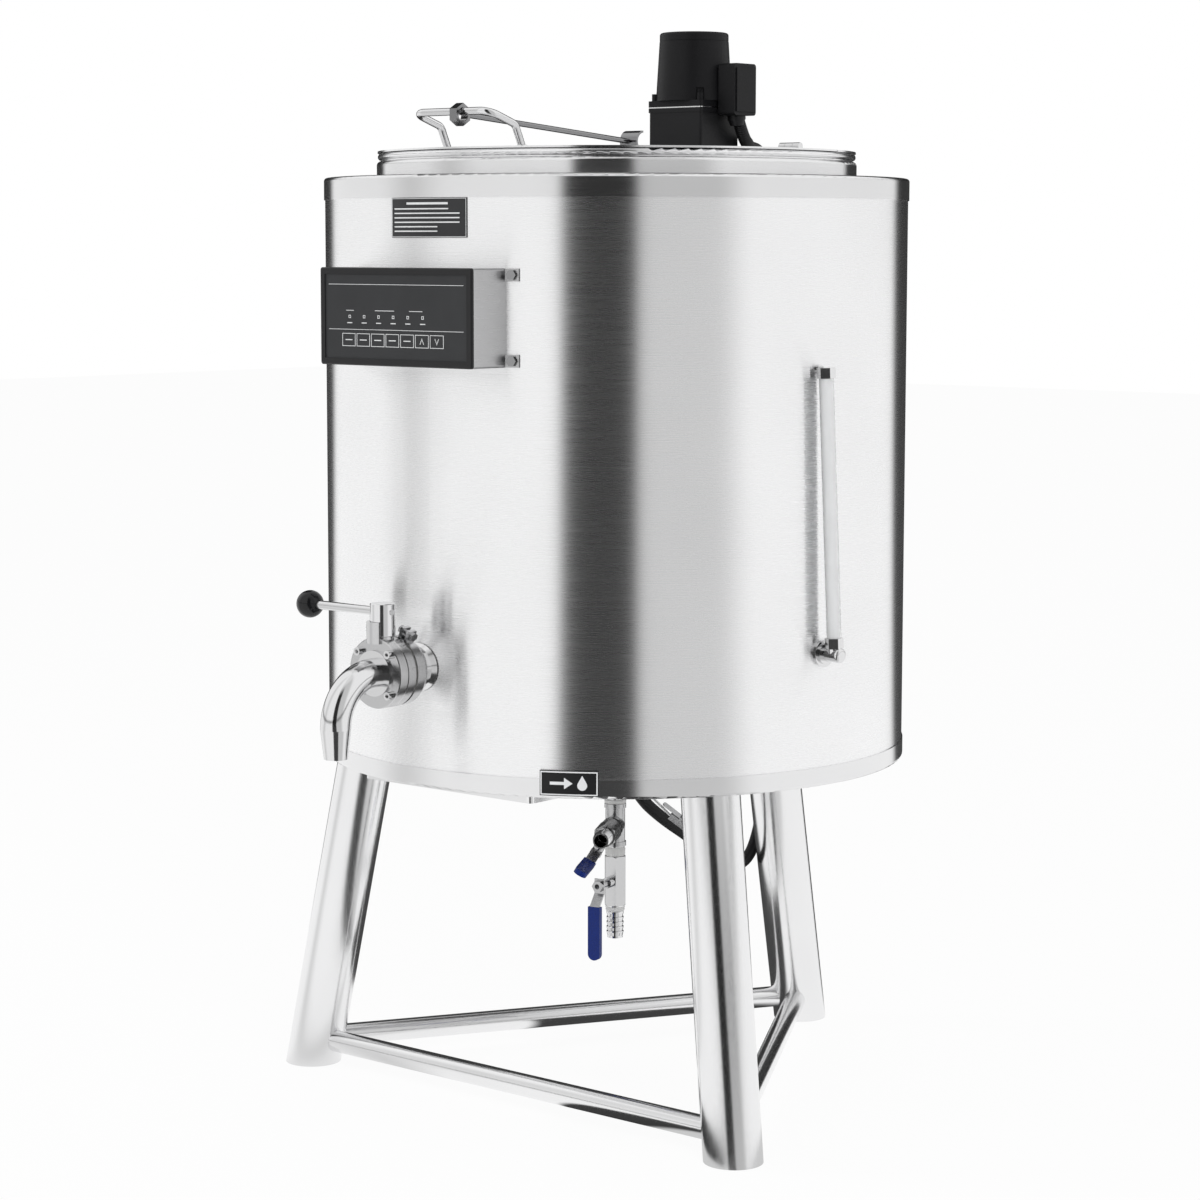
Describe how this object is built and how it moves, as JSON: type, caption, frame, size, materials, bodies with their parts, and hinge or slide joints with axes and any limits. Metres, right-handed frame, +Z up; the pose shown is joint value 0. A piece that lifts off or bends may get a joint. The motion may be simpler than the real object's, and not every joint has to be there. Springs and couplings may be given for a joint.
{
  "type": "milk pasteurizer",
  "caption": "Jacketed steel tank on three splayed legs, with a hinged lid, a geared agitator, a butterfly outlet valve and spout, a level gauge, a control box and a drain line.",
  "frame": {"origin": "on the tank's axis at floor level, at the centre of the circle through the three feet", "axes": "+Z up along the tank's axis; -Y is the front, with the outlet valve and the control box; +X is the right-hand side seen from the front"},
  "size_m": [0.6921, 0.8545, 1.19],
  "materials": {
    "brushed_shell": "horizontal brushed grain",
    "stainless_steel": "satin",
    "polished_steel": "polished",
    "cast_steel": "cast and machined",
    "insulation_foam": "foam",
    "silicone_seal": "matt",
    "panel_black": "semi-gloss",
    "plate_blank": "printed film",
    "gauge_clear": "clear",
    "gearbox_aluminium": "bead-blasted",
    "bright_aluminium": "bright",
    "motor_black": "satin black paint",
    "conduit_black": "corrugated",
    "knob_black": "glossy",
    "grip_blue": "dipped plastic"
  },
  "bodies": {
    "tank": {"outer_shell": "brushed_shell", "shell_top_ring": "brushed_shell", "shell_bottom_pan": "brushed_shell", "inner_vessel": "stainless_steel", "jacket_tank": "stainless_steel", "insulation": "insulation_foam", "heating_elements": "stainless_steel", "heater_cover": "stainless_steel", "leg_left": "stainless_steel", "leg_right": "stainless_steel", "leg_rear": "stainless_steel", "brace_front": "stainless_steel", "brace_left": "stainless_steel", "brace_right": "stainless_steel", "outlet_pipe": "polished_steel", "valve_clamp": "polished_steel", "valve_body_rear": "polished_steel", "valve_body_front": "polished_steel", "valve_seals": "silicone_seal", "valve_bolts": "polished_steel", "spout_elbow": "polished_steel", "control_box": "brushed_shell", "panel_bezel": "panel_black", "panel_overlay": "panel_black", "control_box_bolts": "polished_steel", "name_plate": "plate_blank", "inlet_label_plate": "panel_black", "gauge_tube": "gauge_clear", "gauge_fittings": "polished_steel", "rear_lid": "stainless_steel", "fixed_hinge_leaves": "polished_steel", "gearbox": "gearbox_aluminium", "motor_gasket": "bright_aluminium", "motor_housing": "motor_black", "motor_bolts": "polished_steel", "terminal_box": "motor_black", "motor_conduit": "conduit_black", "power_conduit": "conduit_black", "conduit_clips": "stainless_steel", "drain_tee": "cast_steel", "pipe_nipples": "cast_steel", "inlet_valve_body": "cast_steel", "drain_valve_body": "cast_steel", "hose_barbs": "cast_steel", "bleed_valve_body": "cast_steel", "temperature_probe": "stainless_steel"},
    "lid": {"front_lid": "stainless_steel", "moving_hinge_leaves": "polished_steel", "lid_handle": "polished_steel"},
    "prop": {"prop_rod": "polished_steel"},
    "agitator": {"agitator_shaft": "stainless_steel", "agitator_paddle": "stainless_steel"},
    "outlet_valve": {"outlet_handle": "polished_steel", "outlet_flap": "polished_steel", "handle_knob": "knob_black"},
    "inlet_valve": {"inlet_valve_handle": "cast_steel", "inlet_valve_grip": "grip_blue"},
    "drain_valve": {"drain_valve_handle": "cast_steel", "drain_valve_grip": "grip_blue"},
    "bleed_valve": {"bleed_valve_handle": "cast_steel"}
  },
  "joints": [
    {"name": "lid_hinge", "type": "hinge", "parent": "tank", "child": "lid", "pos_m": [0, 0.06, 1.0564], "axis": [-1, 0, 0], "range_deg": [0, 92]},
    {"name": "prop_hinge", "type": "hinge", "parent": "lid", "child": "prop", "pos_m": [0, -0.27, 1.0879], "axis": [1, 0, 0], "range_deg": [0, 180]},
    {"name": "agitator_spin", "type": "hinge", "parent": "tank", "child": "agitator", "pos_m": [0, 0.138, 1], "axis": [0, 0, 1], "continuous": true},
    {"name": "outlet_valve_turn", "type": "hinge", "parent": "tank", "child": "outlet_valve", "pos_m": [0, -0.378, 0.508], "axis": [0, 0, 1], "range_deg": [0, 90]},
    {"name": "inlet_valve_turn", "type": "hinge", "parent": "tank", "child": "inlet_valve", "pos_m": [0.02706, -0.04557, 0.2931], "axis": [-0.4299, -0.2553, -0.866], "range_deg": [0, 90]},
    {"name": "drain_valve_turn", "type": "hinge", "parent": "tank", "child": "drain_valve", "pos_m": [0, 0, 0.2282], "axis": [0.2079, -0.9781, 0], "range_deg": [0, 90]},
    {"name": "bleed_valve_turn", "type": "hinge", "parent": "tank", "child": "bleed_valve", "pos_m": [0.05324, 0.04878, 0.29536], "axis": [0.6993, 0.03, 0.7142], "range_deg": [0, 90]}
  ]
}
